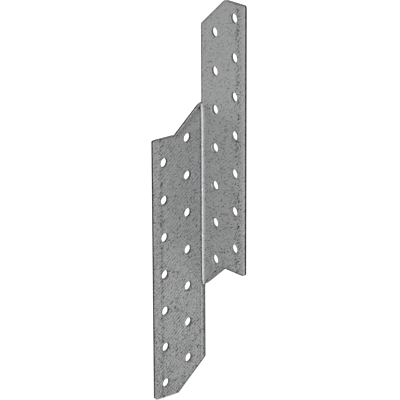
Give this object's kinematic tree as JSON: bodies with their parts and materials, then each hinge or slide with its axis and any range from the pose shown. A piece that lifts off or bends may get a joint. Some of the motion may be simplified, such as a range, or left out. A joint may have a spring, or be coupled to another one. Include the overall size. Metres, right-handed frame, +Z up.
{
  "type": "rafter connector",
  "caption": "Folded sheet-steel angle connector with offset legs and staggered nail holes, for nailing a rafter to the side of a purlin or wall plate.",
  "frame": {"origin": "on the timber face of the purlin leg, at mid-height of that leg and midway between its two columns of nail holes", "axes": "+Z up along the fold, -X out of the purlin face towards the purlin, +Y out of the rafter face towards the rafter"},
  "size_m": [0.0335, 0.0336, 0.21],
  "materials": {
    "galvanised_steel": "hot-dip galvanised sheet, dull, with a fine mottled spangle and sheared edges"
  },
  "bodies": {
    "root": {"connector_plate": "galvanised_steel"}
  },
  "joints": []
}
